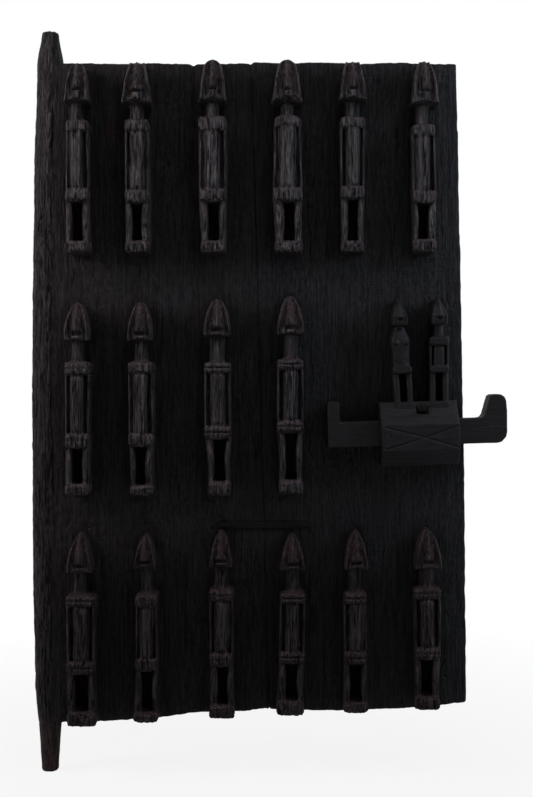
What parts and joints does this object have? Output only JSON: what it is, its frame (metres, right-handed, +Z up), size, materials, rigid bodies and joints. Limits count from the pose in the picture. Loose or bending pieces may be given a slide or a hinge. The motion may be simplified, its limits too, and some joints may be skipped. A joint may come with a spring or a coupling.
{
  "type": "granary door",
  "caption": "Carved wooden granary door of stapled planks on wooden pivots, with rows of standing figures in relief and a sliding-bolt tumbler lock.",
  "frame": {"origin": "end of the lower pivot, on the pivot axis", "axes": "+Z up along the pivot axis, carved front faces -Y, +X from the hinge post to the free edge"},
  "size_m": [0.5669, 0.0855, 0.894],
  "materials": {
    "dark_wood": "hand-adzed hardwood, smoke-blackened, satin on the worn ridges",
    "lock_wood": "smooth carved hardwood, blackened, hand-polished",
    "forged_iron": "forged iron, dark with a thin rust"
  },
  "bodies": {
    "door": {"hinge_plank": "dark_wood", "lock_plank": "dark_wood", "lock_case": "lock_wood", "front_staple": "forged_iron", "upper_back_staple": "forged_iron", "lower_back_staple": "forged_iron", "lock_nail_front": "forged_iron", "lock_nail_left": "forged_iron", "lock_nail_right": "forged_iron", "plank_nail": "forged_iron"},
    "bolt": {"bolt": "lock_wood"},
    "tumbler_left": {"tumbler_left": "lock_wood"},
    "tumbler_right": {"tumbler_right": "lock_wood"}
  },
  "joints": [
    {"name": "bolt_slide", "type": "slide", "parent": "door", "child": "bolt", "axis": [0.9995, 0, 0.0314], "range_m": [-0.025, 0.045]},
    {"name": "tumbler_left_lift", "type": "slide", "parent": "door", "child": "tumbler_left", "axis": [-0.0314, 0, 0.9995], "range_m": [0, 0.0034]},
    {"name": "tumbler_right_lift", "type": "slide", "parent": "door", "child": "tumbler_right", "axis": [-0.0314, 0, 0.9995], "range_m": [0, 0.0034]}
  ]
}
